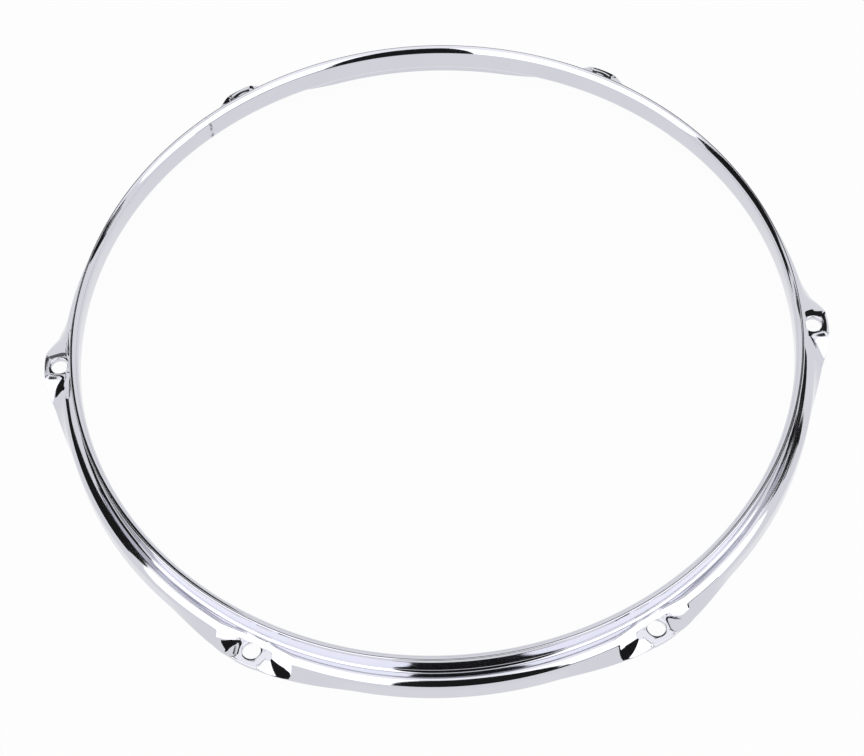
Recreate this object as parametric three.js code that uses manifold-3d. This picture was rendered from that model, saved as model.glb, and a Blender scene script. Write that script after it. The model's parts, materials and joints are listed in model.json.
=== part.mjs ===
// Triple flanged drum hoop: one strip of steel, rolled into a ring, butt welded and pressed.
// The strip has three flanges in section. The lip is rolled outward at the top of an upright wall,
// the shelf bears on the rim of the drum head, and the skirt hangs from the shelf outside that rim.
// At six ears the skirt is pressed up into a flat tab, where a tension rod goes through a punched hole.
// Millimetres, +Z up. The axis of the ring is Z, and the bottom edge of the skirt lies on z = 0.
// Ear 0 is on +X and the ears follow anticlockwise.

import * as THREE from 'three';
import * as BufferGeometryUtils from 'three/addons/utils/BufferGeometryUtils.js';
import Module from 'manifold-3d';

// Sheet and ring
const SHEET = 2.3;
const INNER_RADIUS = 152.5;

// Section, from the lip down to the skirt. Bend radii are measured on the middle of the sheet.
const LIP_BEND_RADIUS = 2.4;
const WALL_RISE = 11.7;
const WALL_BEND_RADIUS = 2.65;
const SHELF_FLAT = 1.6;
const SHOULDER_BEND_RADIUS = 2.65;
const SKIRT_DROP = 10.9;

// Ears
const EAR_COUNT = 6;
const TAB_WIDTH = 12;
const TAB_STEP = 1.2;
const TAB_TIP_FROM_HOLE = 6.65;
const TAB_TIP_ARC_RADIUS = 21;
const FACET_RUN = 14;
const FACET_EDGE_BULGE = 2.3;
const VALLEY_BEND_RADIUS = 3;
const FLARE_LENGTH = 26;
const FLARE_ANGLE = THREE.MathUtils.degToRad(38);

// Tension rod holes
const HOLE_DIAMETER = 7.4;
const HOLE_FROM_WALL = 7.3;
const HOLE_EDGE_ROLL = 0.6;

// Butt weld, where the two ends of the strip meet
const WELD_WIDTH = 1.6;
const WELD_FROM_EAR = 25.5;
const WELD_EAR = 2;

// Helper lengths
const CUT_OVERRUN = 3;
const SLOPE_PROBE = 0.05;

// Shares and powers, and counts of steps
const FACET_ROUNDING_SHARE = 0.25;
const FLARE_FADE_POWER = 1.5;
const BULGE_PEAK_SHARE = 4;
const LIP_STEPS = 3;
const WALL_BEND_STEPS = 2;
const SHOULDER_STEPS = 4;
const SKIRT_STEPS = 4;
const TAB_CELLS = 4;
const FACET_CELLS = 6;
const FLARE_CELLS = 3;
const PLAIN_CELLS = 6;
const HOLE_SEGMENTS = 18;
const EDGE_ROLL_STEPS = 2;

// Worked out from the sizes above
const QUARTER_TURN = Math.PI / 2;
const HALF_SHEET = SHEET / 2;
const WALL_RADIUS = INNER_RADIUS + HALF_SHEET;
const SHELF_HEIGHT = SKIRT_DROP - HALF_SHEET;
const LIP_HEIGHT = SKIRT_DROP + WALL_RISE - HALF_SHEET;
const SHELF_START_RADIUS = WALL_RADIUS + WALL_BEND_RADIUS;
const HOLE_CIRCLE_RADIUS = INNER_RADIUS + SHEET + HOLE_FROM_WALL;
const TAB_TIP_RADIUS = HOLE_CIRCLE_RADIUS + TAB_TIP_FROM_HOLE;
const TAB_TOP = SKIRT_DROP - TAB_STEP;
const EAR_PITCH = (HOLE_CIRCLE_RADIUS * 2 * Math.PI) / EAR_COUNT;

// Lengths along the sheet from the start of the shelf
const SHOULDER_LENGTH = SHOULDER_BEND_RADIUS * QUARTER_TURN;
const SKIRT_LENGTH = SHELF_HEIGHT - SHOULDER_BEND_RADIUS;
const FLAP_LENGTH = SHELF_FLAT + SHOULDER_LENGTH + SKIRT_LENGTH;

// The tab steps down from the shelf by one bend down and one bend back to level
const STEP_RADII = SHOULDER_BEND_RADIUS + VALLEY_BEND_RADIUS;
const STEP_ANGLE = Math.acos(1 - TAB_STEP / STEP_RADII);
const STEP_LENGTH = STEP_RADII * STEP_ANGLE;
const STEP_REACH = STEP_RADII * Math.sin(STEP_ANGLE);
const TAB_FLAP_LENGTH = STEP_LENGTH + TAB_TIP_RADIUS - SHELF_START_RADIUS - STEP_REACH;

const wasm = await Module();
wasm.setup();

// Rises from 0 to 1 as x does, straight in the middle and rounded at both ends.
function roundedRamp(x, roundShare) {
  const t = THREE.MathUtils.clamp(x, 0, 1);
  const steepness = 1 / (1 - roundShare);
  if (t < roundShare) return (steepness * t * t) / (2 * roundShare);
  if (t > 1 - roundShare) return 1 - (steepness * (1 - t) ** 2) / (2 * roundShare);
  return steepness * (t - roundShare / 2);
}

// Signed distance along the hole circle from the middle of the nearest ear.
function fromNearestEar(azimuth) {
  const along = azimuth * HOLE_CIRCLE_RADIUS;
  return along - Math.round(along / EAR_PITCH) * EAR_PITCH;
}

// How the sheet is bent outside the wall at one place round the ring. The fold goes from 0 on the
// flat tab to 1 where the skirt is whole, and the valley between the two moves out along the sheet.
// The tip of the tab is an arc, and the outer edge of the facet bulges past the line from there to the
// skirt. A flared skirt is trimmed, so that the inner corner of its edge stays above the plain skirt's.
function flapForm(azimuth) {
  const distance = Math.abs(fromNearestEar(azimuth));
  const fold = roundedRamp((distance - TAB_WIDTH / 2) / FACET_RUN, FACET_ROUNDING_SHARE);
  const beyondFacet = Math.max(0, distance - TAB_WIDTH / 2 - FACET_RUN / 2);
  const flareLeft = Math.max(0, 1 - beyondFacet / FLARE_LENGTH) ** FLARE_FADE_POWER;
  const bendStart = SHELF_FLAT * fold;
  const valleyEndOnSkirt = FLAP_LENGTH + VALLEY_BEND_RADIUS * QUARTER_TURN;
  const valleyEnd = THREE.MathUtils.lerp(STEP_LENGTH, valleyEndOnSkirt, fold);
  const steepest = QUARTER_TURN - FLARE_ANGLE * flareLeft;
  const flareTrim = HALF_SHEET * Math.cos(steepest);
  const tipSetback = Math.min(distance, TAB_WIDTH / 2 + FACET_RUN) ** 2 / (2 * TAB_TIP_ARC_RADIUS);
  return {
    bendStart,
    valleyEnd,
    slope: Math.min(steepest, (valleyEnd - bendStart) / STEP_RADII),
    length:
      THREE.MathUtils.lerp(TAB_FLAP_LENGTH - tipSetback, FLAP_LENGTH - flareTrim, fold) +
      FACET_EDGE_BULGE * BULGE_PEAK_SHARE * fold * (1 - fold),
  };
}

// Reach, drop and downward slope at a length along the sheet from the start of the shelf:
// level shelf, bend down, straight skirt, and bend back to level at the valley.
function flapPoint(form, along) {
  const { bendStart, valleyEnd, slope } = form;
  const skirtStart = bendStart + SHOULDER_BEND_RADIUS * slope;
  const valleyStart = valleyEnd - VALLEY_BEND_RADIUS * slope;
  const bent = THREE.MathUtils.clamp(along - bendStart, 0, skirtStart - bendStart) / SHOULDER_BEND_RADIUS;
  const straight = THREE.MathUtils.clamp(along - skirtStart, 0, valleyStart - skirtStart);
  const levelled = THREE.MathUtils.clamp(along - valleyStart, 0, valleyEnd - valleyStart) / VALLEY_BEND_RADIUS;
  const level = Math.min(along, bendStart) + Math.max(0, along - valleyEnd);
  const left = slope - levelled;
  return {
    reach:
      level +
      SHOULDER_BEND_RADIUS * Math.sin(bent) +
      straight * Math.cos(slope) +
      VALLEY_BEND_RADIUS * (Math.sin(slope) - Math.sin(left)),
    drop:
      SHOULDER_BEND_RADIUS * (1 - Math.cos(bent)) +
      straight * Math.sin(slope) +
      VALLEY_BEND_RADIUS * (Math.cos(left) - Math.cos(slope)),
    slope: bent - levelled,
  };
}

// Lengths along a whole skirt's sheet where the section has a point.
function flapStations() {
  const stations = [];
  for (let step = 0; step <= SHOULDER_STEPS; step += 1) {
    stations.push(SHELF_FLAT + (SHOULDER_LENGTH * step) / SHOULDER_STEPS);
  }
  for (let step = 1; step <= SKIRT_STEPS; step += 1) {
    stations.push(SHELF_FLAT + SHOULDER_LENGTH + (SKIRT_LENGTH * step) / SKIRT_STEPS);
  }
  return stations;
}

// Middle line of the sheet at one place round the ring, from the lip's rim to the skirt's edge.
// Each point has its radius, its height and the direction of the line there.
function sectionLine(azimuth) {
  const line = [];
  for (let step = 0; step <= LIP_STEPS; step += 1) {
    const turn = (QUARTER_TURN * step) / LIP_STEPS;
    line.push({
      radius: WALL_RADIUS + LIP_BEND_RADIUS * (1 - Math.sin(turn)),
      height: LIP_HEIGHT - LIP_BEND_RADIUS * (1 - Math.cos(turn)),
      outward: -Math.cos(turn),
      upward: -Math.sin(turn),
    });
  }
  for (let step = 0; step <= WALL_BEND_STEPS; step += 1) {
    const turn = (QUARTER_TURN * step) / WALL_BEND_STEPS;
    line.push({
      radius: WALL_RADIUS + WALL_BEND_RADIUS * (1 - Math.cos(turn)),
      height: SHELF_HEIGHT + WALL_BEND_RADIUS * (1 - Math.sin(turn)),
      outward: Math.sin(turn),
      upward: -Math.cos(turn),
    });
  }
  const form = flapForm(azimuth);
  for (const station of flapStations()) {
    const point = flapPoint(form, (station * form.length) / FLAP_LENGTH);
    line.push({
      radius: SHELF_START_RADIUS + point.reach,
      height: SHELF_HEIGHT - point.drop,
      outward: Math.cos(point.slope),
      upward: -Math.sin(point.slope),
    });
  }
  return line;
}

function onRing(azimuth, radius, height) {
  return new THREE.Vector3(radius * Math.cos(azimuth), radius * Math.sin(azimuth), height);
}

// Points of both faces of the sheet at one place round the ring, each half a sheet off the middle
// line and square to it, also where the ear slopes along the ring.
function sheetSection(azimuth) {
  const turn = SLOPE_PROBE / HOLE_CIRCLE_RADIUS;
  const line = sectionLine(azimuth);
  const before = sectionLine(azimuth - turn);
  const after = sectionLine(azimuth + turn);
  const shown = [];
  const hidden = [];
  line.forEach((point, index) => {
    const middle = onRing(azimuth, point.radius, point.height);
    const across = onRing(azimuth, point.outward, point.upward);
    const next = onRing(azimuth + turn, after[index].radius, after[index].height);
    const previous = onRing(azimuth - turn, before[index].radius, before[index].height);
    const normal = across.cross(next.sub(previous)).normalize();
    shown.push(middle.clone().addScaledVector(normal, HALF_SHEET));
    hidden.push(middle.clone().addScaledVector(normal, -HALF_SHEET));
  });
  return { shown, hidden };
}

// Closed body of the sheet swept through the given azimuths, with a flat cut at each end.
function sweepSheet(azimuths) {
  const sections = azimuths.map(sheetSection);
  const count = sections[0].shown.length;
  const positions = [];
  for (const section of sections) {
    for (const point of [...section.shown, ...section.hidden]) positions.push(point.x, point.y, point.z);
  }
  const shown = (station, index) => station * 2 * count + index;
  const hidden = (station, index) => shown(station, index) + count;
  const faces = [];
  const quad = (a, b, c, d) => faces.push(a, b, c, a, c, d);
  const last = count - 1;
  for (let here = 0; here + 1 < sections.length; here += 1) {
    const next = here + 1;
    for (let index = 0; index < last; index += 1) {
      quad(shown(here, index), shown(here, index + 1), shown(next, index + 1), shown(next, index));
      quad(hidden(here, index), hidden(next, index), hidden(next, index + 1), hidden(here, index + 1));
    }
    quad(shown(here, 0), shown(next, 0), hidden(next, 0), hidden(here, 0));
    quad(shown(here, last), hidden(here, last), hidden(next, last), shown(next, last));
  }
  const end = sections.length - 1;
  for (let index = 0; index < last; index += 1) {
    quad(shown(0, index), hidden(0, index), hidden(0, index + 1), shown(0, index + 1));
    quad(shown(end, index), shown(end, index + 1), hidden(end, index + 1), hidden(end, index));
  }
  const geometry = new THREE.BufferGeometry();
  geometry.setAttribute('position', new THREE.Float32BufferAttribute(positions, 3));
  geometry.setIndex(faces);
  return geometry;
}

// Distances from the middle of an ear to the section places that one pitch needs.
function pitchStations() {
  const tabHalf = TAB_WIDTH / 2;
  const facetEnd = tabHalf + FACET_RUN;
  const flareEnd = tabHalf + FACET_RUN / 2 + FLARE_LENGTH;
  const runs = [
    [-tabHalf, tabHalf, TAB_CELLS],
    [tabHalf, facetEnd, FACET_CELLS],
    [facetEnd, flareEnd, FLARE_CELLS],
    [flareEnd, EAR_PITCH - flareEnd, PLAIN_CELLS],
    [EAR_PITCH - flareEnd, EAR_PITCH - facetEnd, FLARE_CELLS],
    [EAR_PITCH - facetEnd, EAR_PITCH - tabHalf, FACET_CELLS],
  ];
  const stations = [];
  for (const [from, to, cells] of runs) {
    for (let cell = 0; cell < cells; cell += 1) stations.push(from + ((to - from) * cell) / cells);
  }
  return stations;
}

// Azimuths of the two cut ends of the strip, either side of the weld.
function weldEnds() {
  const middle = WELD_EAR * EAR_PITCH + WELD_FROM_EAR;
  return [middle - WELD_WIDTH / 2, middle + WELD_WIDTH / 2].map((along) => along / HOLE_CIRCLE_RADIUS);
}

// Azimuths of the strip's sections, from one side of the weld round to the other.
function stripAzimuths() {
  const [weldFrom, weldTo] = weldEnds();
  const full = 2 * Math.PI;
  const between = [];
  for (let ear = 0; ear < EAR_COUNT; ear += 1) {
    for (const station of pitchStations()) {
      const azimuth = (ear * EAR_PITCH + station) / HOLE_CIRCLE_RADIUS;
      const past = (azimuth - weldTo + 2 * full) % full;
      if (past > 0 && past < full - (weldTo - weldFrom)) between.push(weldTo + past);
    }
  }
  between.sort((a, b) => a - b);
  return [weldTo, ...between, weldFrom + full];
}

// Tool that punches one rod hole and rolls its upper edge over.
function holePunch() {
  const radius = HOLE_DIAMETER / 2;
  const outline = [
    new THREE.Vector2(0, -SHEET - CUT_OVERRUN),
    new THREE.Vector2(radius, -SHEET - CUT_OVERRUN),
  ];
  for (let step = 0; step <= EDGE_ROLL_STEPS; step += 1) {
    const turn = (QUARTER_TURN * step) / EDGE_ROLL_STEPS;
    const out = HOLE_EDGE_ROLL * (1 - Math.cos(turn));
    outline.push(new THREE.Vector2(radius + out, HOLE_EDGE_ROLL * (Math.sin(turn) - 1)));
  }
  outline.push(new THREE.Vector2(radius + HOLE_EDGE_ROLL, CUT_OVERRUN), new THREE.Vector2(0, CUT_OVERRUN));
  return new THREE.LatheGeometry(outline, HOLE_SEGMENTS).rotateX(QUARTER_TURN);
}

function toSolid(geometry) {
  const bare = geometry.clone();
  bare.deleteAttribute('normal');
  bare.deleteAttribute('uv');
  const merged = BufferGeometryUtils.mergeVertices(bare);
  return new wasm.Manifold(
    new wasm.Mesh({
      numProp: 3,
      vertProperties: new Float32Array(merged.attributes.position.array),
      triVerts: new Uint32Array(merged.index.array),
    }),
  );
}

function toGeometry(solid) {
  const mesh = solid.getMesh();
  const geometry = new THREE.BufferGeometry();
  geometry.setAttribute('position', new THREE.Float32BufferAttribute(mesh.vertProperties, 3));
  geometry.setIndex(Array.from(mesh.triVerts));
  geometry.computeVertexNormals();
  return geometry;
}

function hoopStrip() {
  let solid = toSolid(sweepSheet(stripAzimuths()));
  for (let ear = 0; ear < EAR_COUNT; ear += 1) {
    const azimuth = (ear * EAR_PITCH) / HOLE_CIRCLE_RADIUS;
    const centre = onRing(azimuth, HOLE_CIRCLE_RADIUS, TAB_TOP);
    solid = solid.subtract(toSolid(holePunch().translate(centre.x, centre.y, centre.z)));
  }
  return toGeometry(solid);
}

function buttWeld() {
  const geometry = sweepSheet(weldEnds());
  geometry.computeVertexNormals();
  return geometry;
}

// Bright chrome plate over the whole hoop, a little duller over the dressed weld
const chromePlate = new THREE.MeshStandardMaterial({ color: 0xd6d9de, roughness: 0.06, metalness: 1 });
const weldChrome = new THREE.MeshStandardMaterial({ color: 0xb9bcc2, roughness: 0.24, metalness: 1 });

const strip = new THREE.Mesh(hoopStrip(), chromePlate);
strip.name = 'hoop_strip';

const weld = new THREE.Mesh(buttWeld(), weldChrome);
weld.name = 'butt_weld';

const group = new THREE.Group();
group.add(strip, weld);

export default group;
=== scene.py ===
"""Chrome plated triple flanged drum hoop, dressed over its CAD frame and lit as a pack shot."""

import json
import logging
import math
from dataclasses import dataclass, field
from enum import Enum
from functools import lru_cache
from typing import Any

import bmesh
import bpy
from mathutils import Matrix, Vector

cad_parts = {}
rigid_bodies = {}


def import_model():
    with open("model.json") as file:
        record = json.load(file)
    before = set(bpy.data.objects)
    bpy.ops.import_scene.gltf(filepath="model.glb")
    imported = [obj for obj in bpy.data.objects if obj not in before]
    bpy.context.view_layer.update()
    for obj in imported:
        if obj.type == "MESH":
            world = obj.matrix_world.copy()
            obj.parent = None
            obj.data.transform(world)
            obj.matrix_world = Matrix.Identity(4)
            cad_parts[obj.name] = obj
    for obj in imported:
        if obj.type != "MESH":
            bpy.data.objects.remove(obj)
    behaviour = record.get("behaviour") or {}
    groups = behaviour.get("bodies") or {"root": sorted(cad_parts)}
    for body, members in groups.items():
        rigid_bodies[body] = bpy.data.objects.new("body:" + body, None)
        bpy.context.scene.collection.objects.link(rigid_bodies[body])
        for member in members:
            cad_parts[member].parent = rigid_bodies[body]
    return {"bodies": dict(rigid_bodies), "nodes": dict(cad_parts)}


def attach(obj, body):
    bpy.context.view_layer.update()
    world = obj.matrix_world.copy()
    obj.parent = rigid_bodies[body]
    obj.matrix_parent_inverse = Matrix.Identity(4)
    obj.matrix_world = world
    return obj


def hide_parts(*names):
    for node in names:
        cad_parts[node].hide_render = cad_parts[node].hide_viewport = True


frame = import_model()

# What Blender starts with isn't in the frame, and would count towards the box.
FRAME_OBJECTS = {*frame["bodies"].values(), *frame["nodes"].values()}
for startup_object in [other for other in bpy.context.scene.objects if other not in FRAME_OBJECTS]:
    bpy.data.objects.remove(startup_object)
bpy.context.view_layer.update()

log = logging.getLogger("drum_hoop")

MM = 0.001
QUARTER_TURN = math.pi / 2
FULL_TURN = math.pi * 2
WHITE = (1.0, 1.0, 1.0, 1.0)

# The sRGB curve: a straight toe for dark values, and a power above it.
SRGB_TOE = 0.04045
SRGB_TOE_SLOPE = 12.92
SRGB_OFFSET = 0.055
SRGB_POWER = 2.4

# The row of a point of the section that isn't on the flap.
NO_ROW = -1

Corners = tuple[tuple[float, float], ...]


class Face(Enum):
    """Side of the sheet: the outer or upper one, and the inner or lower one."""

    SHOWN = 1
    HIDDEN = -1


class Glow(Enum):
    """What the chrome sees of a card or of a dark place in the studio, where white paper is 1."""

    SOFTBOX = 1.85
    DIFFUSER = 1.25
    DIM_DOORWAY = 0.15
    DIM_GAP = 0.06
    DARK_GAP = 0.03
    DARK_DOORWAY = 0.02
    BLACK_CLOTH = 0.015


def clamp(value: float, low: float, high: float) -> float:
    """Returns the value, or the limit that it passes."""
    return min(max(value, low), high)


def mix(start: float, end: float, share: float) -> float:
    """Returns the value that lies that share of the way from start to end."""
    return start + (end - start) * share


def divided(start: float, end: float, steps: int) -> list[float]:
    """Returns the places that divide a run into equal steps, from its start on, without its end."""
    return [mix(start, end, step / steps) for step in range(steps)]


def on_ring(azimuth: float, radius: float, height: float) -> Vector:
    """Returns the point at that azimuth, radius and height."""
    return Vector((radius * math.cos(azimuth), radius * math.sin(azimuth), height))


def rounded_ramp(x: float, round_share: float) -> float:
    """Rises from 0 to 1 as x does, straight in the middle and rounded at both ends.

    Args:
        x: Place on the ramp, cut off below 0 and above 1.
        round_share: Share of the run that is rounded at each end.

    Returns:
        The height of the ramp, from 0 to 1.
    """
    t = clamp(x, 0, 1)
    steepness = 1 / (1 - round_share)
    if t < round_share:
        return steepness * t * t / (2 * round_share)
    if t > 1 - round_share:
        return 1 - steepness * (1 - t) ** 2 / (2 * round_share)
    return steepness * (t - round_share / 2)


@dataclass(frozen=True)
class Flap:
    """How the sheet is bent outside the wall at one place round the ring.

    The shoulder bends down by slope, and the valley bends back up to outer_slope. Lengths are in
    millimetres and slopes in radians.
    """

    bend_start: float
    slope: float
    outer_slope: float
    length: float


@dataclass(frozen=True)
class SheetPoint:
    """A point of the sheet's middle line in millimetres, and the direction of the line there."""

    radius: float
    height: float
    outward: float
    upward: float


@dataclass(eq=False)
class HoopForm:
    """Sizes of the hoop's section and ears in millimetres, and the pressed sheet they describe.

    Angles are in radians. An azimuth is the angle round the ring from the middle of ear 0.
    """

    sheet: float = 2.3
    inner_radius: float = 152.5
    lip_bend_radius: float = 2.4
    wall_rise: float = 11.7
    wall_bend_radius: float = 2.65
    shelf_flat: float = 1.6
    shoulder_bend_radius: float = 2.65
    skirt_drop: float = 10.9
    ear_count: int = 6
    tab_width: float = 10.4
    tab_step: float = 1.2
    tab_tip_from_hole: float = 6.65
    tab_tip_arc_radius: float = 45.0
    step_bend_radius: float = 2.0
    twist_run: float = 12.8
    twist_rounding_share: float = 0.04
    flare_length: float = 26.0
    flare_angle: float = math.radians(32)
    flare_fade_power: float = 1.5
    hole_radius: float = 3.7
    hole_from_wall: float = 7.3
    weld_width: float = 1.6
    weld_from_ear: float = 25.5
    weld_ear: int = 2
    probe: float = 0.05
    reach_rounds: int = 8

    def __post_init__(self) -> None:
        """Works out the sizes that follow from the driving ones."""
        self.half_sheet = self.sheet / 2
        self.wall_radius = self.inner_radius + self.half_sheet
        self.shelf_height = self.skirt_drop - self.half_sheet
        self.lip_height = self.skirt_drop + self.wall_rise - self.half_sheet
        self.shelf_start_radius = self.wall_radius + self.wall_bend_radius
        self.hole_circle_radius = self.inner_radius + self.sheet + self.hole_from_wall
        self.ear_pitch = self.hole_circle_radius * FULL_TURN / self.ear_count

        self.lip_length = self.lip_bend_radius * QUARTER_TURN
        self.lip_foot = self.lip_height - self.lip_bend_radius
        self.wall_length = self.lip_foot - self.shelf_height - self.wall_bend_radius
        self.wall_end = self.lip_length + self.wall_length
        self.flap_start = self.wall_end + self.wall_bend_radius * QUARTER_TURN

        shoulder_length = self.shoulder_bend_radius * QUARTER_TURN
        skirt_length = self.shelf_height - self.shoulder_bend_radius
        self.flap_length = self.shelf_flat + shoulder_length + skirt_length

        step_radii = self.shoulder_bend_radius + self.step_bend_radius
        self.step_angle = math.acos(1 - self.tab_step / step_radii)
        step_length = step_radii * (self.step_angle - math.sin(self.step_angle))
        tab_tip_radius = self.hole_circle_radius + self.tab_tip_from_hole
        self.tab_flap_length = step_length + tab_tip_radius - self.shelf_start_radius

    def from_nearest_ear(self, azimuth: float) -> float:
        """Returns the signed distance along the hole circle from the nearest ear's middle."""
        along = azimuth * self.hole_circle_radius
        return along - round(along / self.ear_pitch) * self.ear_pitch

    @lru_cache(maxsize=None)
    def flap(self, azimuth: float) -> Flap:
        """Bends the sheet outside the wall for one place round the ring.

        Args:
            azimuth: The place round the ring.

        Returns:
            The flap's bends there, from the flat tab to the whole skirt.
        """
        distance = abs(self.from_nearest_ear(azimuth))
        beyond_tab = max(0.0, distance - self.tab_width / 2)
        fold = rounded_ramp(beyond_tab / self.twist_run, self.twist_rounding_share)
        flare_run = (beyond_tab - self.twist_run) / self.flare_length
        flare_left = clamp(1 - flare_run, 0, 1) ** self.flare_fade_power
        steepest = QUARTER_TURN - self.flare_angle * flare_left
        flare_trim = self.half_sheet * math.cos(steepest)
        arc_offset = min(distance, self.tab_width / 2 + self.twist_run)
        tip_setback = arc_offset**2 / (2 * self.tab_tip_arc_radius)
        tab_length = self.tab_flap_length - tip_setback
        return Flap(
            bend_start=self.shelf_flat * fold,
            slope=max(self.step_angle, steepest * fold),
            outer_slope=steepest * fold,
            length=mix(tab_length, self.flap_length - flare_trim, fold),
        )

    def flap_point(self, flap: Flap, along: float) -> SheetPoint:
        """Follows the sheet out from the start of the shelf.

        Args:
            flap: The flap's bends at this place round the ring.
            along: Length along the sheet from the start of the shelf.

        Returns:
            The point of the middle line, with the line's direction.
        """
        shoulder, valley = self.shoulder_bend_radius, self.step_bend_radius
        valley_start = flap.bend_start + shoulder * flap.slope
        valley_end = valley_start + valley * (flap.slope - flap.outer_slope)
        bent = clamp(along - flap.bend_start, 0, valley_start - flap.bend_start) / shoulder
        eased = clamp(along - valley_start, 0, valley_end - valley_start) / valley
        outer = max(0.0, along - valley_end)
        left = flap.slope - eased
        reach = min(along, flap.bend_start) + shoulder * math.sin(bent)
        reach += valley * (math.sin(flap.slope) - math.sin(left)) + outer * math.cos(left)
        drop = shoulder * (1 - math.cos(bent))
        drop += valley * (math.cos(left) - math.cos(flap.slope)) + outer * math.sin(left)
        turned = bent - eased
        return SheetPoint(
            radius=self.shelf_start_radius + reach,
            height=self.shelf_height - drop,
            outward=math.cos(turned),
            upward=-math.sin(turned),
        )

    def middle(self, azimuth: float, along: float) -> SheetPoint:
        """Finds a point of the sheet's middle line.

        Args:
            azimuth: The place round the ring.
            along: Length along the plain sheet from the lip's rim, before the flap is stretched.

        Returns:
            The point, with the line's direction.
        """
        if along < self.lip_length:
            turn = along / self.lip_bend_radius
            return SheetPoint(
                radius=self.wall_radius + self.lip_bend_radius * (1 - math.sin(turn)),
                height=self.lip_height - self.lip_bend_radius * (1 - math.cos(turn)),
                outward=-math.cos(turn),
                upward=-math.sin(turn),
            )
        if along < self.wall_end:
            height = self.lip_foot - (along - self.lip_length)
            return SheetPoint(radius=self.wall_radius, height=height, outward=0, upward=-1)
        if along < self.flap_start:
            turn = (along - self.wall_end) / self.wall_bend_radius
            return SheetPoint(
                radius=self.wall_radius + self.wall_bend_radius * (1 - math.cos(turn)),
                height=self.shelf_height + self.wall_bend_radius * (1 - math.sin(turn)),
                outward=math.sin(turn),
                upward=-math.cos(turn),
            )
        flap = self.flap(azimuth)
        stretch = flap.length / self.flap_length
        return self.flap_point(flap, (along - self.flap_start) * stretch)

    @lru_cache(maxsize=None)
    def middle_and_normal(self, azimuth: float, along: float) -> tuple[Vector, Vector]:
        """Finds the sheet's middle and which way it faces.

        Args:
            azimuth: The place round the ring.
            along: Length along the plain sheet from the lip's rim.

        Returns:
            The point of the middle line in millimetres, and the normal towards the shown face.
        """
        turn = self.probe / self.hole_circle_radius
        point = self.middle(azimuth, along)
        tangent = on_ring(azimuth, point.outward, point.upward)
        after = self.middle(azimuth + turn, along)
        before = self.middle(azimuth - turn, along)
        round_ring = on_ring(azimuth + turn, after.radius, after.height)
        round_ring -= on_ring(azimuth - turn, before.radius, before.height)
        normal = tangent.cross(round_ring).normalized()
        return on_ring(azimuth, point.radius, point.height), normal

    def surface(self, azimuth: float, along: float, across: float) -> Vector:
        """Finds a point of the sheet itself.

        Args:
            azimuth: The place round the ring.
            along: Length along the plain sheet from the lip's rim.
            across: Distance from the middle of the sheet, square to it, towards its shown face.

        Returns:
            The point in millimetres.
        """
        middle, normal = self.middle_and_normal(azimuth, along)
        return middle + normal * across

    def along_at_reach(self, azimuth: float, radius: float) -> float:
        """Finds where on the flap the middle line has a given radius, by closing in on it.

        Args:
            azimuth: The place round the ring.
            radius: The radius sought, on the tab or its step.

        Returns:
            Length along the plain sheet from the lip's rim.
        """
        flap = self.flap(azimuth)
        along = radius - self.shelf_start_radius
        for _ in range(self.reach_rounds):
            along += radius - self.flap_point(flap, along).radius
        return self.flap_start + along * self.flap_length / flap.length

    def weld_ends(self) -> tuple[float, float]:
        """Returns the azimuths of the strip's two cut ends, either side of the weld."""
        middle = self.weld_ear * self.ear_pitch + self.weld_from_ear
        ends = (middle - self.weld_width / 2, middle + self.weld_width / 2)
        return ends[0] / self.hole_circle_radius, ends[1] / self.hole_circle_radius


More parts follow.
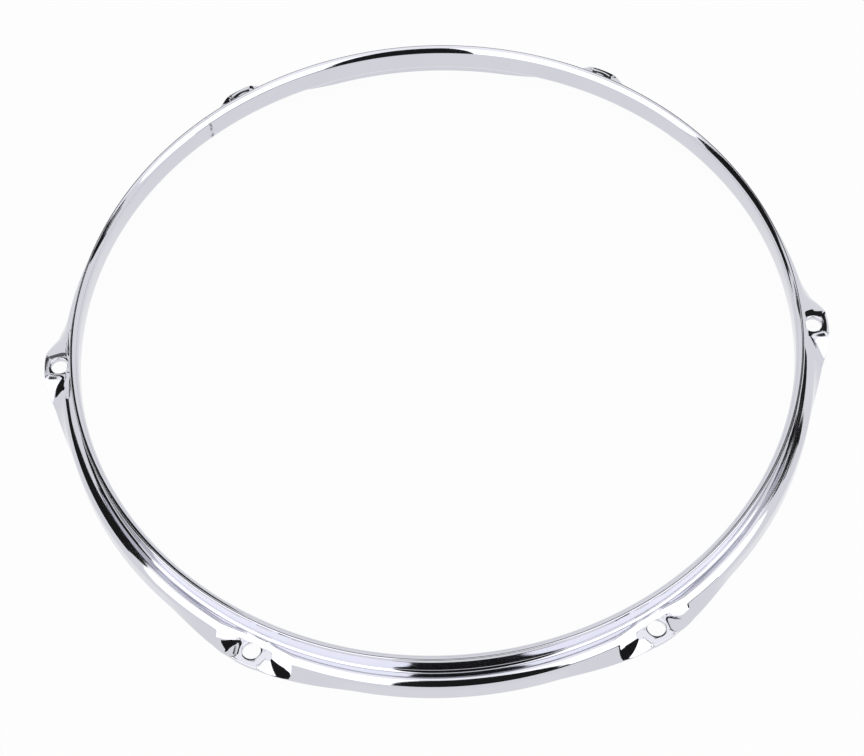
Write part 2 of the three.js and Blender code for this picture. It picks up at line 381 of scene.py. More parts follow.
@dataclass
class SheetGrid:
    """The section as a closed loop, carried round the ring in columns and pressed to the form.

    The flap is divided into rows. Rows and columns round the hole of an ear are drawn into
    circles. Lengths are in millimetres.
    """

    form: HoopForm
    lip_steps: int = 8
    wall_steps: int = 2
    wall_bend_steps: int = 10
    rows_to_hole: int = 12
    rows_past_hole: int = 12
    edge_radius: float = 0.25
    edge_steps: int = 3
    ear_end: float = 7.0
    ear_columns: int = 14
    twist_end: float = 22.0
    twist_columns: int = 24
    flare_end: float = 40.0
    flare_columns: int = 16
    plain_columns: int = 28
    hole_rings: int = 7
    roll_rings: int = 3
    blend_rings: int = 2
    hole_roll: dict[Face, float] = field(
        default_factory=lambda: {Face.SHOWN: 0.3, Face.HIDDEN: 0.25}
    )
    merge_distance: float = 0.0005

    def stations(self) -> list[tuple[float, int]]:
        """Divides the sheet's middle line from the lip's rim to the skirt's edge.

        Returns:
            The length along the plain sheet of each point, with its row on the flap or NO_ROW.
        """
        form = self.form
        hole = form.along_at_reach(0, form.hole_circle_radius)
        skirt_edge = form.flap_start + form.flap_length
        above_flap = [
            *divided(0, form.lip_length, self.lip_steps),
            *divided(form.lip_length, form.wall_end, self.wall_steps),
            *divided(form.wall_end, form.flap_start, self.wall_bend_steps),
        ]
        on_flap = [
            *divided(form.flap_start, hole, self.rows_to_hole),
            *divided(hole, skirt_edge, self.rows_past_hole),
            skirt_edge,
        ]
        found = [(along, NO_ROW) for along in above_flap]
        return found + [(along, row) for row, along in enumerate(on_flap)]

    def loop(self) -> list[tuple[float, float, int]]:
        """Closes the section: down the shown face, round the skirt's edge, back and round the lip.

        Returns:
            The along, across and row of each point, with the sheet's edges rounded.
        """
        stations = self.stations()
        half, edge = self.form.half_sheet, self.edge_radius
        end = stations[-1][0]
        inner = [(along, row) for along, row in stations if edge <= along <= end - edge]
        turns = [*divided(0, QUARTER_TURN, self.edge_steps), QUARTER_TURN]
        rounded = [(edge * math.sin(turn), half - edge + edge * math.cos(turn)) for turn in turns]
        skirt_edge = [(end - edge + out, across, NO_ROW) for out, across in rounded]
        lip_edge = [(edge - out, across, NO_ROW) for out, across in rounded]
        loop = [(along, half, row) for along, row in inner]
        loop += skirt_edge
        loop += [(along, -across, row) for along, across, row in reversed(skirt_edge)]
        loop += [(along, -half, row) for along, row in reversed(inner)]
        loop += [(along, -across, row) for along, across, row in lip_edge]
        loop += reversed(lip_edge)
        return loop

    def pitch_offsets(self) -> list[float]:
        """Spaces the columns, closest at an ear.

        Returns:
            Their distances from the middle of the ear to halfway to the next one.
        """
        half_pitch = self.form.ear_pitch / 2
        return [
            *divided(0, self.ear_end, self.ear_columns),
            *divided(self.ear_end, self.twist_end, self.twist_columns),
            *divided(self.twist_end, self.flare_end, self.flare_columns),
            *divided(self.flare_end, half_pitch, self.plain_columns),
            half_pitch,
        ]

    def far_count(self) -> int:
        """Returns a count of columns from an ear that lies past the last of its columns."""
        return len(self.pitch_offsets())

    def columns(self, start: float, end: float) -> list[tuple[float, int]]:
        """Lists the columns of a stretch of the ring.

        Args:
            start: Azimuth of the first column.
            end: Azimuth of the last column.

        Returns:
            Each column's azimuth, and its count of columns from the middle of the nearest ear.
        """
        form = self.form
        offsets = self.pitch_offsets()
        first_ear = math.floor(start * form.hole_circle_radius / form.ear_pitch)
        last_ear = math.ceil(end * form.hole_circle_radius / form.ear_pitch)
        found = []
        for ear in range(first_ear, last_ear + 1):
            for count, offset in enumerate(offsets):
                # The lines through and halfway between ears come once, the others on both sides.
                for side in (1,) if offset in (0, offsets[-1]) else (-1, 1):
                    azimuth = (ear * form.ear_pitch + side * offset) / form.hole_circle_radius
                    if start < azimuth < end:
                        found.append((azimuth, side * count))
        found.sort()
        return [(start, self.far_count()), *found, (end, self.far_count())]

    def build(self, columns: list[tuple[float, int]]) -> bmesh.types.BMesh:
        """Wraps a grid round the section and along the columns, and presses it.

        Args:
            columns: Azimuth of each column, with its count from the nearest ear.

        Returns:
            A closed mesh in millimetres.
        """
        mesh = bmesh.new()
        loop = self.loop()
        last_column = len(columns) - 1
        bmesh.ops.create_grid(mesh, x_segments=last_column, y_segments=len(loop), size=1)
        sheet_ring = self.hole_rings + self.roll_rings + self.blend_rings
        inside, rims = [], []
        for vert in mesh.verts:
            # The flat grid runs from -1 to 1 both ways, and its last line in y meets its first.
            azimuth, count = columns[round((vert.co.x + 1) / 2 * last_column)]
            along, across, row = loop[round((vert.co.y + 1) / 2 * len(loop)) % len(loop)]
            on_flap = row != NO_ROW
            ring = max(abs(count), abs(row - self.rows_to_hole)) if on_flap else sheet_ring
            if ring < self.hole_rings:
                inside.append(vert)
            elif ring < sheet_ring:
                azimuth, along, across = self.round_hole(azimuth, along, across, ring)
                if ring == self.hole_rings:
                    rims.append(vert)
            vert.co = self.form.surface(azimuth, along, across)
        seam = [vert for vert in mesh.verts if vert.is_boundary]
        bmesh.ops.remove_doubles(mesh, verts=seam, dist=self.merge_distance)
        for sheet_face in mesh.faces:
            sheet_face.smooth = True
        open_ends = [edge for edge in mesh.edges if edge.is_boundary]
        ends = bmesh.ops.holes_fill(mesh, edges=open_ends, sides=0)
        for cut_end in ends["faces"]:
            for edge in cut_end.edges:
                edge.smooth = False
        bmesh.ops.delete(mesh, geom=inside, context="VERTS")
        self.line_holes(mesh, rims)
        bmesh.ops.recalc_face_normals(mesh, faces=mesh.faces[:])
        return mesh

    def round_hole(
        self, azimuth: float, along: float, across: float, ring: int
    ) -> tuple[float, float, float]:
        """Draws a grid point near a rod hole onto a circle, sunk where the hole's edge is rolled.

        Args:
            azimuth: Azimuth of the grid point.
            along: Its length along the plain sheet.
            across: Its distance from the middle of the sheet.
            ring: How many grid lines it lies from the middle of the hole.

        Returns:
            The new azimuth, along and across.
        """
        form = self.form
        face = Face.SHOWN if across > 0 else Face.HIDDEN
        roll = self.hole_roll[face]
        ear_azimuth = azimuth - form.from_nearest_ear(azimuth) / form.hole_circle_radius
        radius = form.middle(azimuth, along).radius
        hole = Vector((form.hole_circle_radius, 0, 0))
        from_hole = on_ring(azimuth - ear_azimuth, radius, 0) - hole
        turn = QUARTER_TURN * clamp((ring - self.hole_rings) / self.roll_rings, 0, 1)
        circle = from_hole.normalized() * (form.hole_radius + roll * (1 - math.cos(turn)))
        blend = clamp((ring - self.hole_rings - self.roll_rings) / self.blend_rings, 0, 1)
        place = hole + circle.lerp(from_hole, blend)
        azimuth = ear_azimuth + math.atan2(place.y, place.x)
        sunk = roll * (1 - math.sin(turn))
        return azimuth, form.along_at_reach(azimuth, place.length), across - face.value * sunk

    @staticmethod
    def rim_loops(
        mesh: bmesh.types.BMesh, rims: list[bmesh.types.BMVert]
    ) -> list[list[bmesh.types.BMEdge]]:
        """Sorts the open edges round the rod holes into loops.

        Args:
            mesh: The pressed sheet, open at its holes.
            rims: The vertices on the open edges.

        Returns:
            The edges of each loop.
        """
        on_rims = set(rims)
        edges = [edge for edge in mesh.edges if edge.is_boundary and on_rims.issuperset(edge.verts)]
        waiting = set(edges)
        loops = []
        for first_edge in edges:
            if first_edge not in waiting:
                continue
            waiting.remove(first_edge)
            grown = [first_edge]
            for edge in grown:
                for vert in edge.verts:
                    for other in waiting.intersection(vert.link_edges):
                        waiting.remove(other)
                        grown.append(other)
            loops.append(grown)
        return loops

    def line_holes(self, mesh: bmesh.types.BMesh, rims: list[bmesh.types.BMVert]) -> None:
        """Joins the two faces of the sheet inside each rod hole.

        Args:
            mesh: The pressed sheet, open at its holes.
            rims: The vertices on the open edges.
        """
        loops = self.rim_loops(mesh, rims)
        centres = [sum((edge.verts[0].co for edge in loop), Vector()) / len(loop) for loop in loops]
        waiting = list(range(len(loops)))
        while waiting:
            first = waiting.pop(0)
            nearest = min(waiting, key=lambda other: (centres[other] - centres[first]).length)
            waiting.remove(nearest)
            lining = bmesh.ops.bridge_loops(mesh, edges=loops[first] + loops[nearest])
            for lining_face in lining["faces"]:
                lining_face.smooth = True


def as_object(name: str, mesh: bmesh.types.BMesh) -> bpy.types.Object:
    """Turns a mesh in millimetres into an object at the origin, in metres.

    Args:
        name: Name of the object and its mesh.
        mesh: The mesh, which is freed.

    Returns:
        The linked object.
    """
    bmesh.ops.scale(mesh, vec=(MM, MM, MM), verts=mesh.verts[:])
    data = bpy.data.meshes.new(name)
    mesh.to_mesh(data)
    mesh.free()
    piece = bpy.data.objects.new(name, data)
    bpy.context.scene.collection.objects.link(piece)
    return piece


def linear(hex_colour: str) -> tuple[float, float, float, float]:
    """Turns an sRGB hex value into a linear colour with alpha.

    Args:
        hex_colour: Six hex digits.

    Returns:
        Linear red, green, blue and alpha.
    """
    channels = []
    for start in (0, 2, 4):
        share = int(hex_colour[start:start + 2], 16) / 255
        if share <= SRGB_TOE:
            channels.append(share / SRGB_TOE_SLOPE)
        else:
            channels.append(((share + SRGB_OFFSET) / (1 + SRGB_OFFSET)) ** SRGB_POWER)
    return *channels, 1.0


def add_node(
    tree: bpy.types.NodeTree, kind: str, inputs: dict[int | str, Any], **settings: Any
) -> bpy.types.Node:
    """Adds a node with its settings, values and links.

    Args:
        tree: The node tree that gets it.
        kind: The node's type name.
        inputs: For each input socket, by name or number, a value or the output that feeds it.
        **settings: Values of the node's own properties.

    Returns:
        The new node.
    """
    node = tree.nodes.new(kind)
    for name, value in settings.items():
        setattr(node, name, value)
    for socket, source in inputs.items():
        if isinstance(source, bpy.types.NodeSocket):
            tree.links.new(source, node.inputs[socket])
        else:
            node.inputs[socket].default_value = source
    return node


def new_tree(owner: Any) -> bpy.types.NodeTree:
    """Turns on the nodes of a material or world.

    Args:
        owner: The material or world.

    Returns:
        Its tree, emptied.
    """
    owner.use_nodes = True
    owner.node_tree.nodes.clear()
    return owner.node_tree


def seen_rays(tree: bpy.types.NodeTree) -> bpy.types.NodeSocket:
    """Adds nodes that tell the rays that see something from the rays that light it.

    Args:
        tree: The node tree that gets them.

    Returns:
        1 for rays from the camera, a mirror or glass, and 0 for rays that light a surface.
    """
    path = add_node(tree, "ShaderNodeLightPath", {}).outputs
    bent = {0: path["Is Glossy Ray"], 1: path["Is Transmission Ray"]}
    mirrored = add_node(tree, "ShaderNodeMath", bent, operation="MAXIMUM")
    either = {0: path["Is Camera Ray"], 1: mirrored.outputs["Value"]}
    return add_node(tree, "ShaderNodeMath", either, operation="MAXIMUM").outputs["Value"]


def section_place(
    tree: bpy.types.NodeTree, place: bpy.types.NodeSocket
) -> tuple[bpy.types.NodeSocket, bpy.types.NodeSocket]:
    """Adds nodes that say where on the hoop's section a point is.

    Args:
        tree: The node tree that gets them.
        place: The point in the hoop's own space.

    Returns:
        The point's distance from the hoop's axis, and its height.
    """
    axes = add_node(tree, "ShaderNodeSeparateXYZ", {"Vector": place}).outputs
    flat = add_node(tree, "ShaderNodeCombineXYZ", {"X": axes["X"], "Y": axes["Y"]})
    reach = add_node(
        tree, "ShaderNodeVectorMath", {0: flat.outputs["Vector"]}, operation="LENGTH"
    )
    return reach.outputs["Value"], axes["Z"]


@dataclass(frozen=True)
class BrightChromePlate:
    """Bright decorative chromium over nickel on pressed steel.

    It gives the eye a cool mirror. The steel was pressed, then buffed round the ring before
    plating, so straight reflections waver a little, and faint hairlines run round it.
    """

    name: str = "bright_chrome_plate"
    clean: str = "D5D5DD"
    hazed: str = "CECFD7"
    haze_patch_mm: float = 26.0
    haze_detail: float = 3.0
    haze_raggedness: float = 0.6
    haze_starts: float = 0.35
    haze_full: float = 0.7
    polished_roughness: float = 0.03
    hazed_roughness: float = 0.075
    press_wave_mm: float = 17.0
    press_wave_depth_mm: float = 0.006
    press_wave_detail: float = 1.0
    press_wave_raggedness: float = 0.4
    # Real hairlines lie closer than this, and wouldn't show in the render.
    hairline_spacing_mm: float = 0.35
    hairline_depth_mm: float = 0.0001
    hairline_detail: float = 2.0

    def material(self) -> bpy.types.Material:
        """Makes the material of the finish.

        Returns:
            The material, with haze in patches over waves and hairlines.
        """
        made = bpy.data.materials.new(self.name)
        tree = new_tree(made)
        place = add_node(tree, "ShaderNodeTexCoord", {}).outputs["Object"]
        patches = {
            "Vector": place,
            "Scale": 1 / (self.haze_patch_mm * MM),
            "Detail": self.haze_detail,
            "Roughness": self.haze_raggedness,
        }
        haze = add_node(tree, "ShaderNodeTexNoise", patches).outputs["Fac"]
        tones = {"Factor": haze, "A": linear(self.clean), "B": linear(self.hazed)}
        tone = add_node(tree, "ShaderNodeMix", tones, data_type="RGBA")
        dulling = {
            "Value": haze,
            "From Min": self.haze_starts,
            "From Max": self.haze_full,
            "To Min": self.polished_roughness,
            "To Max": self.hazed_roughness,
        }
        gloss = add_node(tree, "ShaderNodeMapRange", dulling)
        surface = {
            "Base Color": tone.outputs["Result"],
            "Metallic": 1.0,
            "Roughness": gloss.outputs["Result"],
            "Normal": self.relief(tree, place),
        }
        shader = add_node(tree, "ShaderNodeBsdfPrincipled", surface)
        add_node(tree, "ShaderNodeOutputMaterial", {"Surface": shader.outputs["BSDF"]})
        return made

    def relief(
        self, tree: bpy.types.NodeTree, place: bpy.types.NodeSocket
    ) -> bpy.types.NodeSocket:
        """Adds the waves that pressing left, and the hairlines that buffing left.

        Args:
            tree: The material's tree.
            place: The point in the hoop's own space.

        Returns:
            The surface's normal.
        """
        waves = {
            "Vector": place,
            "Scale": 1 / (self.press_wave_mm * MM),
            "Detail": self.press_wave_detail,
            "Roughness": self.press_wave_raggedness,
        }
        wave_height = add_node(tree, "ShaderNodeTexNoise", waves).outputs["Fac"]
        pressing = {"Height": wave_height, "Distance": self.press_wave_depth_mm * MM}
        pressed = add_node(tree, "ShaderNodeBump", pressing)
        radius, height = section_place(tree, place)
        section = add_node(tree, "ShaderNodeCombineXYZ", {"X": radius, "Y": height})
        hairlines = {
            "Vector": section.outputs["Vector"],
            "Scale": 1 / (self.hairline_spacing_mm * MM),
            "Detail": self.hairline_detail,
        }
        buffing = {
            "Height": add_node(tree, "ShaderNodeTexNoise", hairlines).outputs["Fac"],
            "Distance": self.hairline_depth_mm * MM,
            "Normal": pressed.outputs["Normal"],
        }
        return add_node(tree, "ShaderNodeBump", buffing).outputs["Normal"]


@dataclass(frozen=True)
class DressedWeldChrome:
    """Chromium over a weld that was ground flush by hand.

    It gives the eye a slightly darker and duller line, with the wheel's scratches along it. A few
    pits show through the plating on the inner wall, and the rest was buffed clean.
    """

    name: str = "dressed_weld_chrome"
    ground: str = "CACBD1"
    pitted: str = "77787B"
    # Real scratches lie closer than this, and wouldn't show in the render.
    scratch_spacing_mm: float = 0.3
    scratch_depth_mm: float = 0.0015
    scratch_detail: float = 2.0
    scratch_squash: tuple[float, float, float] = (1.0, 1.0, 0.08)
    pit_spacing_mm: float = 1.7
    pit_detail: float = 3.0
    pit_raggedness: float = 0.65
    pits_start: float = 0.44
    pits_full: float = 0.56
    ground_roughness: float = 0.1
    pitted_roughness: float = 0.38
    pitted_within_mm: float = 152.7
    buffed_beyond_mm: float = 153.2

    def material(self) -> bpy.types.Material:
        """Makes the material of the finish.

        Returns:
            The material, with scratches all over and pits on the inner wall.
        """
        made = bpy.data.materials.new(self.name)
        tree = new_tree(made)
        place = add_node(tree, "ShaderNodeTexCoord", {}).outputs["Object"]
        pitting = self.pitting(tree, place)
        tones = {"Factor": pitting, "A": linear(self.ground), "B": linear(self.pitted)}
        tone = add_node(tree, "ShaderNodeMix", tones, data_type="RGBA")
        dulling = {
            "Value": pitting,
            "To Min": self.ground_roughness,
            "To Max": self.pitted_roughness,
        }
        gloss = add_node(tree, "ShaderNodeMapRange", dulling)
        squashing = {"Vector": place, "Scale": self.scratch_squash}
        scratches = {
            "Vector": add_node(tree, "ShaderNodeMapping", squashing).outputs["Vector"],
            "Scale": 1 / (self.scratch_spacing_mm * MM),
            "Detail": self.scratch_detail,
        }
        grinding = {
            "Height": add_node(tree, "ShaderNodeTexNoise", scratches).outputs["Fac"],
            "Distance": self.scratch_depth_mm * MM,
        }
        surface = {
            "Base Color": tone.outputs["Result"],
            "Metallic": 1.0,
            "Roughness": gloss.outputs["Result"],
            "Normal": add_node(tree, "ShaderNodeBump", grinding).outputs["Normal"],
        }
        shader = add_node(tree, "ShaderNodeBsdfPrincipled", surface)
        add_node(tree, "ShaderNodeOutputMaterial", {"Surface": shader.outputs["BSDF"]})
        return made

    def pitting(
        self, tree: bpy.types.NodeTree, place: bpy.types.NodeSocket
    ) -> bpy.types.NodeSocket:
        """Adds the pits that buffing left, which are on the inner wall only.

        Args:
            tree: The material's tree.
            place: The point in the hoop's own space.

        Returns:
            How pitted the surface is, from 0 to 1.
        """
        pores = {
            "Vector": place,
            "Scale": 1 / (self.pit_spacing_mm * MM),
            "Detail": self.pit_detail,
            "Roughness": self.pit_raggedness,
        }
        picked = {
            "Value": add_node(tree, "ShaderNodeTexNoise", pores).outputs["Fac"],
            "From Min": self.pits_start,
            "From Max": self.pits_full,
        }
        pits = add_node(tree, "ShaderNodeMapRange", picked)
        fading = {
            "Value": section_place(tree, place)[0],
            "From Min": self.pitted_within_mm * MM,
            "From Max": self.buffed_beyond_mm * MM,
            "To Min": 1.0,
            "To Max": 0.0,
        }
        unbuffed = add_node(tree, "ShaderNodeMapRange", fading)
        both = {0: pits.outputs["Result"], 1: unbuffed.outputs["Result"]}
        return add_node(tree, "ShaderNodeMath", both, operation="MULTIPLY").outputs["Value"]


@dataclass(frozen=True)
class MattWhitePaper:
    """Seamless background paper.

    It gives the eye an even white ground that still takes the hoop's soft shadow. Where it is
    seen, straight or in the chrome, most of its light is plain white, as on paper that the
    photographer exposes to full white.
    """

    name: str = "matt_white_paper"
    bright: str = "F4F4F4"
    fibre: str = "EFEFEF"
    # Real fibres are finer than this, and wouldn't show in the render.
    fibre_mm: float = 4.0
    fibre_detail: float = 2.0
    roughness: float = 0.9
    shine: float = 0.0
    full_white: float = 1.0
    full_white_share: float = 0.95

    def material(self) -> bpy.types.Material:
        """Makes the material of the paper.

        Returns:
            The material, lit by the studio and mixed with plain white where it is seen.
        """
        made = bpy.data.materials.new(self.name)
        tree = new_tree(made)
        pattern = {
            "Vector": add_node(tree, "ShaderNodeTexCoord", {}).outputs["Object"],
            "Scale": 1 / (self.fibre_mm * MM),
            "Detail": self.fibre_detail,
        }
        fibres = add_node(tree, "ShaderNodeTexNoise", pattern).outputs["Fac"]
        tones = {"Factor": fibres, "A": linear(self.bright), "B": linear(self.fibre)}
        tone = add_node(tree, "ShaderNodeMix", tones, data_type="RGBA")
        surface = {
            "Base Color": tone.outputs["Result"],
            "Roughness": self.roughness,
            "Specular IOR Level": self.shine,
        }
        shader = add_node(tree, "ShaderNodeBsdfPrincipled", surface)
        white = add_node(tree, "ShaderNodeEmission", {"Strength": self.full_white})
        seen = {0: seen_rays(tree), 1: self.full_white_share}
        share = add_node(tree, "ShaderNodeMath", seen, operation="MULTIPLY")
        layers = {
            0: share.outputs["Value"],
            1: shader.outputs["BSDF"],
            2: white.outputs["Emission"],
        }
        exposed = add_node(tree, "ShaderNodeMixShader", layers)
        add_node(tree, "ShaderNodeOutputMaterial", {"Surface": exposed.outputs["Shader"]})
        return made


@dataclass
class HoopStrip:
    """The pressed strip, from one side of the weld round to the other."""

    grid: SheetGrid
    finish: BrightChromePlate = BrightChromePlate()
    name: str = "hoop_strip_chromed"

    def build(self) -> bpy.types.Object:
        """Presses the strip.

        Returns:
            The strip, standing for its CAD node.
        """
        weld_from, weld_to = self.grid.form.weld_ends()
        mesh = self.grid.build(self.grid.columns(weld_to, weld_from + FULL_TURN))
        strip = as_object(self.name, mesh)
        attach(strip, "root")
        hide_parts("hoop_strip")
        return strip

    def dress(self, strip: bpy.types.Object) -> None:
        """Gives the strip its finish."""
        strip.data.materials.append(self.finish.material())


@dataclass
class ButtWeld:
    """The weld that closes the ring, ground flush with a slight hollow down the inner wall.

    Lengths are in millimetres.
    """

    grid: SheetGrid
    finish: DressedWeldChrome = DressedWeldChrome()
    name: str = "butt_weld_dressed"
    column_count: int = 12
    hollow_depth: float = 0.07
    ripple_depth: float = 0.04
    ripple_length: float = 3.1
    inner_wall_fade: float = 0.6

    def build(self) -> bpy.types.Object:
        """Fills the gap between the strip's ends, and hollows the weld.

        Returns:
            The weld, standing for its CAD node.
        """
        start, end = self.grid.form.weld_ends()
        azimuths = [*divided(start, end, self.column_count), end]
        mesh = self.grid.build([(azimuth, self.grid.far_count()) for azimuth in azimuths])
        mesh.normal_update()
        for vert in mesh.verts:
            radius = vert.co.xy.length
            share = (math.atan2(vert.co.y, vert.co.x) - start) / (end - start)
            hollow = math.sin(math.pi * clamp(share, 0, 1)) ** 2
            ripple = math.sin(FULL_TURN * (vert.co.z - radius) / self.ripple_length)
            inside_wall = self.grid.form.wall_radius - radius
            hollow *= clamp(inside_wall / self.inner_wall_fade, 0, 1)
            vert.co -= vert.normal * hollow * (self.hollow_depth + self.ripple_depth * ripple)
        weld = as_object(self.name, mesh)
        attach(weld, "root")
        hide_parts("butt_weld")
        return weld

    def dress(self, weld: bpy.types.Object) -> None:
        """Gives the weld its finish."""
        weld.data.materials.append(self.finish.material())


def round_card(elevation: float, step: int) -> Corners:
    """Returns the corners of a round card overhead, one every step degrees."""
    return tuple((azimuth, elevation) for azimuth in range(-180, 180, step))


@dataclass(frozen=True)
class StudioCard:
    """A card, a diffuser or a dark place round the set, seen only in the chrome.

    Each corner is a direction from the hoop's centre: an azimuth from the camera's side towards
    +X and an elevation, both in degrees. The corners lie at one distance in metres.
    """

    name: str
    glow: Glow
    corners: Corners
    distance: float = 3.0

    def build(self) -> bpy.types.Object:
        """Hangs the card.

        Returns:
            The card, out of the camera's sight and without a shadow.
        """
        mesh = bmesh.new()
        verts = []
        for azimuth, elevation in self.corners:
            turn = math.radians(azimuth) - QUARTER_TURN
            rise = math.radians(elevation)
            corner = on_ring(turn, self.distance * math.cos(rise), self.distance * math.sin(rise))
            verts.append(mesh.verts.new(corner / MM))
        bmesh.ops.contextual_create(mesh, geom=verts)
        card = as_object(self.name, mesh)
        card.data.materials.append(self.material())
        card.visible_camera = False
        card.visible_shadow = False
        card.visible_diffuse = False
        return card

    def material(self) -> bpy.types.Material:
        """Makes the card's material.

        Returns:
            An even white light as strong as the card's glow.
        """
        made = bpy.data.materials.new(self.name)
        tree = new_tree(made)
        light = {"Color": WHITE, "Strength": self.glow.value}
        shader = add_node(tree, "ShaderNodeEmission", light)
        add_node(tree, "ShaderNodeOutputMaterial", {"Surface": shader.outputs["Emission"]})
        return made


@dataclass(frozen=True)
class PhotoCamera:
    """The photograph's viewpoint, in metres and degrees."""

    name: str = "photo_camera"
    elevation: float = 57.596
    turn: float = -0.357
    roll: float = -2.892
    distance: float = 1.06438
    target: tuple[float, float, float] = (-0.00267, -0.01057, 0.0)
    focal_length_mm: float = 102.952
    sensor_width_mm: float = 36.0
    nearest: float = 0.01
    farthest: float = 100.0

    def build(self) -> bpy.types.Object:
        """Sets up the camera.

        Returns:
            The camera, set as the scene's own.
        """
        lens = bpy.data.cameras.new(self.name)
        lens.lens = self.focal_length_mm
        lens.sensor_width = self.sensor_width_mm
        lens.clip_start = self.nearest
        lens.clip_end = self.farthest
        camera = bpy.data.objects.new(self.name, lens)
        bpy.context.scene.collection.objects.link(camera)
        turned = Matrix.Rotation(math.radians(self.turn), 4, "Z")
        tilted = Matrix.Rotation(QUARTER_TURN - math.radians(self.elevation), 4, "X")
        rolled = Matrix.Rotation(math.radians(self.roll), 4, "Z")
        aimed = turned @ Matrix.Translation(self.target) @ tilted @ rolled
        camera.matrix_world = aimed @ Matrix.Translation((0, 0, self.distance))
        bpy.context.scene.camera = camera
        return camera


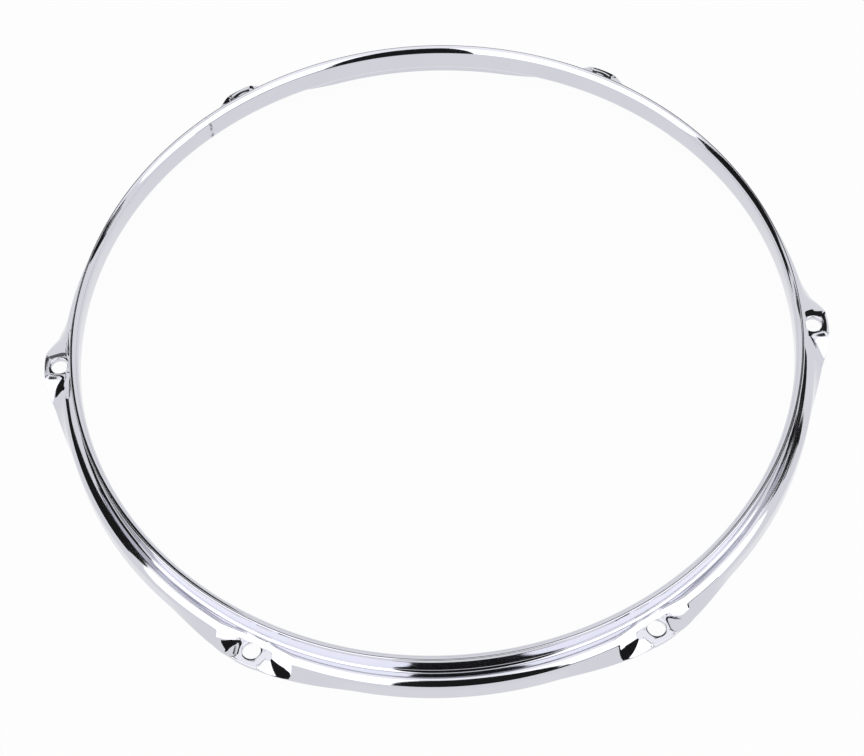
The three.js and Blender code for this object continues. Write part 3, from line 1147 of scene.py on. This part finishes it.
@dataclass
class Studio:
    """A white paper ground under large soft lights, with the dark shapes behind the streaks."""

    ground: MattWhitePaper = MattWhitePaper()
    ground_half_width: float = 6.0
    seen_white: float = 1.0
    fill_light: float = 0.8
    cards: tuple[StudioCard, ...] = (
        StudioCard(
            "softbox_front_left",
            Glow.SOFTBOX,
            ((-14, -3), (-71, -3), (-81.5, 33.7), (-95.7, 52.7), (-112, 60), (-60, 75), (-14, 75)),
        ),
        StudioCard(
            "softbox_front_right",
            Glow.SOFTBOX,
            (
                (26, 2), (60, -3), (68, 4), (80, 20), (90, 37), (98, 50), (108, 57), (60, 72),
                (24, 75),
            ),
        ),
        StudioCard(
            "overhead_diffuser",
            Glow.DIFFUSER,
            round_card(elevation=61, step=15),
            distance=3.3,
        ),
        StudioCard(
            "flag_behind_camera",
            Glow.BLACK_CLOTH,
            ((-14, -3), (21, -3), (25, 30), (24, 60), (16, 78), (-14, 78)),
        ),
        StudioCard(
            "gap_left_dark",
            Glow.BLACK_CLOTH,
            (
                (-82, 17), (-85.5, 34.5), (-87.7, 43.6), (-90.5, 48.2), (-95, 52.5), (-100, 55.9),
                (-110, 59.8), (-120, 62.3), (-130, 63.5), (-140, 63.9), (-150, 63.9),
                (-156, 63.2), (-160.5, 60.8), (-158.5, 59), (-150, 57.6), (-143.6, 55.6),
                (-138, 53), (-134, 50), (-136, 47), (-131, 41.5), (-126, 37), (-123, 31),
                (-122, 24), (-123, 16), (-124, 10.5), (-119, 11), (-114, 18), (-105, 18.5),
                (-95, 17.5), (-88, 15.5),
            ),
            distance=2.9,
        ),
        StudioCard(
            "gap_left_thin",
            Glow.DIM_GAP,
            (
                (-160, 55.8), (-155, 54.8), (-150, 53.4), (-144, 50.5), (-139, 47), (-135, 43),
                (-132, 38), (-130.5, 33), (-131.5, 33), (-133.5, 38), (-137, 42.5), (-141, 46),
                (-146, 49.5), (-151, 51.8), (-156, 53.4), (-160, 54.3),
            ),
            distance=2.9,
        ),
        StudioCard(
            "gap_right",
            Glow.BLACK_CLOTH,
            (
                (96, 28), (98.5, 37), (103.5, 45), (108, 50.5), (113.5, 55), (121, 58),
                (128, 60.5), (134, 61.7), (141, 61.9), (150, 61.7), (158, 61.4), (158, 59.6),
                (150, 59.7), (141, 60), (133, 59), (127, 56), (120, 51), (113, 44.5), (106, 36),
                (101, 26),
            ),
            distance=2.95,
        ),
        StudioCard(
            "flag_low_right",
            Glow.BLACK_CLOTH,
            ((20, -1), (64, -1), (64, 5), (45, 11), (21, 18)),
            distance=2.9,
        ),
        StudioCard(
            "gap_rear",
            Glow.DARK_GAP,
            (
                (158, 61), (168, 60.6), (180, 60.5), (-170, 60.5), (-161.6, 60.5), (-162.3, 52),
                (-165, 51.5), (-166, 56.5), (-175, 56.5), (-175, 44), (-178, 42), (178, 42),
                (175, 44), (175, 56.5), (167, 56.5), (165.5, 52), (163, 52), (160, 57),
            ),
            distance=3.05,
        ),
        StudioCard(
            "slit_high_left",
            Glow.DARK_GAP,
            (
                (-153, 63), (-145, 68.2), (-130, 71.6), (-110, 74), (-95, 75), (-80, 75),
                (-80, 73.4), (-95, 73.4), (-110, 72.4), (-130, 70), (-145, 66.6), (-151, 62),
            ),
            distance=2.85,
        ),
        StudioCard(
            "slit_high_right",
            Glow.DARK_GAP,
            (
                (153, 62), (145, 66), (135, 69.3), (120, 72.2), (100, 74.2), (75, 74),
                (75, 72.4), (100, 72.6), (120, 70.6), (135, 67.7), (145, 64.4), (151, 61.2),
            ),
            distance=2.85,
        ),
        StudioCard(
            "door_rear_right",
            Glow.DARK_DOORWAY,
            (
                (146, 59), (147, 46), (151, 33), (155, 18), (166, 15), (170, 33), (167, 50),
                (163, 57), (158, 59),
            ),
        ),
        StudioCard(
            "door_rear_left",
            Glow.DIM_DOORWAY,
            ((-147, 52), (-152, 42), (-160, 28), (-168, 30), (-166, 51)),
        ),
    )

    def build_ground(self) -> bpy.types.Object:
        """Lays the paper.

        Returns:
            The paper on which the hoop lies.
        """
        mesh = bmesh.new()
        half_width = self.ground_half_width / MM
        bmesh.ops.create_grid(mesh, x_segments=1, y_segments=1, size=half_width)
        ground = as_object("paper_ground", mesh)
        ground.data.materials.append(self.ground.material())
        return ground

    def build_world(self) -> None:
        """Sets plain white surroundings: full white where seen, and a fill light for the paper."""
        world = bpy.data.worlds.new("white_surroundings")
        bpy.context.scene.world = world
        tree = new_tree(world)
        levels = {"Value": seen_rays(tree), "To Min": self.fill_light, "To Max": self.seen_white}
        strength = add_node(tree, "ShaderNodeMapRange", levels).outputs["Result"]
        glow = add_node(tree, "ShaderNodeBackground", {"Color": WHITE, "Strength": strength})
        add_node(tree, "ShaderNodeOutputWorld", {"Surface": glow.outputs["Background"]})

    def build(self) -> list[bpy.types.Object]:
        """Returns the ground and the cards, with the world set round them."""
        self.build_world()
        return [self.build_ground(), *(card.build() for card in self.cards)]


def main() -> None:
    """Builds the hoop and the studio round it, and reports each piece."""
    logging.basicConfig(level=logging.INFO, format="%(name)s: %(message)s")
    bpy.context.scene.view_settings.view_transform = "Standard"
    PhotoCamera().build()
    grid = SheetGrid(HoopForm())
    for part in (HoopStrip(grid), ButtWeld(grid)):
        piece = part.build()
        part.dress(piece)
        vertices, faces = len(piece.data.vertices), len(piece.data.polygons)
        log.info("%s: %d vertices, %d faces", piece.name, vertices, faces)
    for prop in Studio().build():
        log.info("%s: studio, not part of the hoop", prop.name)


if __name__ == "__main__":
    main()
